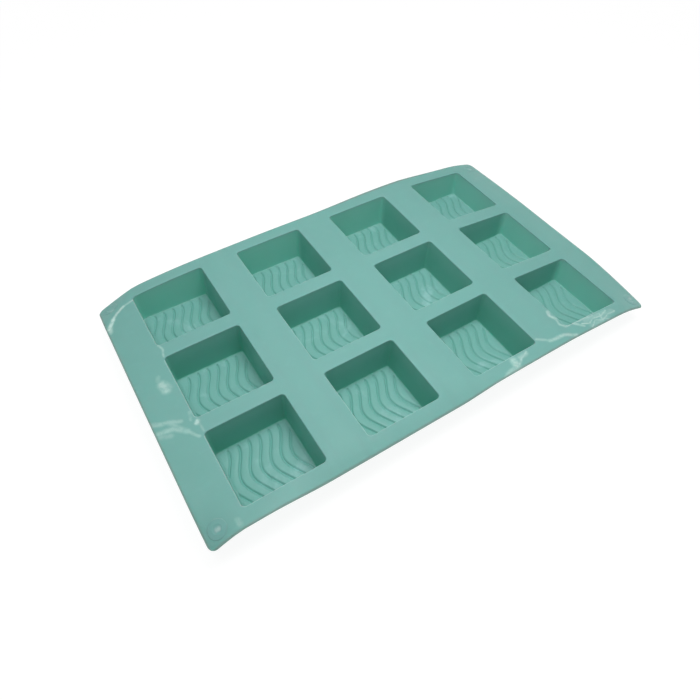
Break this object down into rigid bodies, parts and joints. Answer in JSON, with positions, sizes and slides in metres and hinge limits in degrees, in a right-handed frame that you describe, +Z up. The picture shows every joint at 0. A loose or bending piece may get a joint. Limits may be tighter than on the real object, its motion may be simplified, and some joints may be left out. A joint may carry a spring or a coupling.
{
  "type": "silicone soap mould",
  "caption": "Flexible rectangular silicone mould with square bar cavities in rows, wave-pattern floors and thin bendable webs between the columns.",
  "frame": {"origin": "centre of the footprint, on the plane that the undersides of the cavities stand on", "axes": "+X along the long side, +Y across the sheet to the back row, +Z up out of the cavities"},
  "size_m": [0.3, 0.176, 0.025],
  "materials": {
    "deck_silicone": "satin teal silicone with pale marbling near the margins",
    "wall_silicone": "satin teal silicone",
    "floor_silicone": "semi-gloss teal silicone, polished cavity floor"
  },
  "bodies": {
    "strip_2": {"deck_panel_2": "deck_silicone", "cavity_wall_A2": "wall_silicone", "cavity_wall_B2": "wall_silicone", "cavity_wall_C2": "wall_silicone", "hinge_web_12": "deck_silicone", "hinge_web_23": "deck_silicone"},
    "strip_1": {"deck_panel_1": "deck_silicone", "cavity_wall_A1": "wall_silicone", "cavity_wall_B1": "wall_silicone", "cavity_wall_C1": "wall_silicone", "corner_button_back_left": "deck_silicone", "corner_button_front_left": "deck_silicone"},
    "strip_3": {"deck_panel_3": "deck_silicone", "cavity_wall_A3": "wall_silicone", "cavity_wall_B3": "wall_silicone", "cavity_wall_C3": "wall_silicone", "hinge_web_34": "deck_silicone"},
    "strip_4": {"deck_panel_4": "deck_silicone", "cavity_wall_A4": "wall_silicone", "cavity_wall_B4": "wall_silicone", "cavity_wall_C4": "wall_silicone", "corner_button_back_right": "deck_silicone", "corner_button_front_right": "deck_silicone"},
    "floor_A1": {"wave_floor_A1": "floor_silicone"},
    "floor_B1": {"wave_floor_B1": "floor_silicone"},
    "floor_C1": {"wave_floor_C1": "floor_silicone"},
    "floor_A2": {"wave_floor_A2": "floor_silicone"},
    "floor_B2": {"wave_floor_B2": "floor_silicone"},
    "floor_C2": {"wave_floor_C2": "floor_silicone"},
    "floor_A3": {"wave_floor_A3": "floor_silicone"},
    "floor_B3": {"wave_floor_B3": "floor_silicone"},
    "floor_C3": {"wave_floor_C3": "floor_silicone"},
    "floor_A4": {"wave_floor_A4": "floor_silicone"},
    "floor_B4": {"wave_floor_B4": "floor_silicone"},
    "floor_C4": {"wave_floor_C4": "floor_silicone"}
  },
  "joints": [
    {"name": "flex_12", "type": "hinge", "parent": "strip_2", "child": "strip_1", "pos_m": [-0.0705, 0, 0.02425], "axis": [0, 1, 0], "range_deg": [-45, 75], "stiffness_Nm_per_rad": 0.01, "deforming": ["hinge_web_12"]},
    {"name": "flex_23", "type": "hinge", "parent": "strip_2", "child": "strip_3", "pos_m": [0, 0, 0.02425], "axis": [0, -1, 0], "range_deg": [-45, 75], "stiffness_Nm_per_rad": 0.01, "deforming": ["hinge_web_23"]},
    {"name": "flex_34", "type": "hinge", "parent": "strip_3", "child": "strip_4", "pos_m": [0.0705, 0, 0.02425], "axis": [0, -1, 0], "range_deg": [-45, 75], "stiffness_Nm_per_rad": 0.01, "deforming": ["hinge_web_34"]},
    {"name": "push_out_A1", "type": "slide", "parent": "strip_1", "child": "floor_A1", "axis": [0, 0, 1], "range_m": [0, 0.018], "stiffness_N_per_m": 150},
    {"name": "push_out_B1", "type": "slide", "parent": "strip_1", "child": "floor_B1", "axis": [0, 0, 1], "range_m": [0, 0.018], "stiffness_N_per_m": 150},
    {"name": "push_out_C1", "type": "slide", "parent": "strip_1", "child": "floor_C1", "axis": [0, 0, 1], "range_m": [0, 0.018], "stiffness_N_per_m": 150},
    {"name": "push_out_A2", "type": "slide", "parent": "strip_2", "child": "floor_A2", "axis": [0, 0, 1], "range_m": [0, 0.018], "stiffness_N_per_m": 150},
    {"name": "push_out_B2", "type": "slide", "parent": "strip_2", "child": "floor_B2", "axis": [0, 0, 1], "range_m": [0, 0.018], "stiffness_N_per_m": 150},
    {"name": "push_out_C2", "type": "slide", "parent": "strip_2", "child": "floor_C2", "axis": [0, 0, 1], "range_m": [0, 0.018], "stiffness_N_per_m": 150},
    {"name": "push_out_A3", "type": "slide", "parent": "strip_3", "child": "floor_A3", "axis": [0, 0, 1], "range_m": [0, 0.018], "stiffness_N_per_m": 150},
    {"name": "push_out_B3", "type": "slide", "parent": "strip_3", "child": "floor_B3", "axis": [0, 0, 1], "range_m": [0, 0.018], "stiffness_N_per_m": 150},
    {"name": "push_out_C3", "type": "slide", "parent": "strip_3", "child": "floor_C3", "axis": [0, 0, 1], "range_m": [0, 0.018], "stiffness_N_per_m": 150},
    {"name": "push_out_A4", "type": "slide", "parent": "strip_4", "child": "floor_A4", "axis": [0, 0, 1], "range_m": [0, 0.018], "stiffness_N_per_m": 150},
    {"name": "push_out_B4", "type": "slide", "parent": "strip_4", "child": "floor_B4", "axis": [0, 0, 1], "range_m": [0, 0.018], "stiffness_N_per_m": 150},
    {"name": "push_out_C4", "type": "slide", "parent": "strip_4", "child": "floor_C4", "axis": [0, 0, 1], "range_m": [0, 0.018], "stiffness_N_per_m": 150}
  ]
}
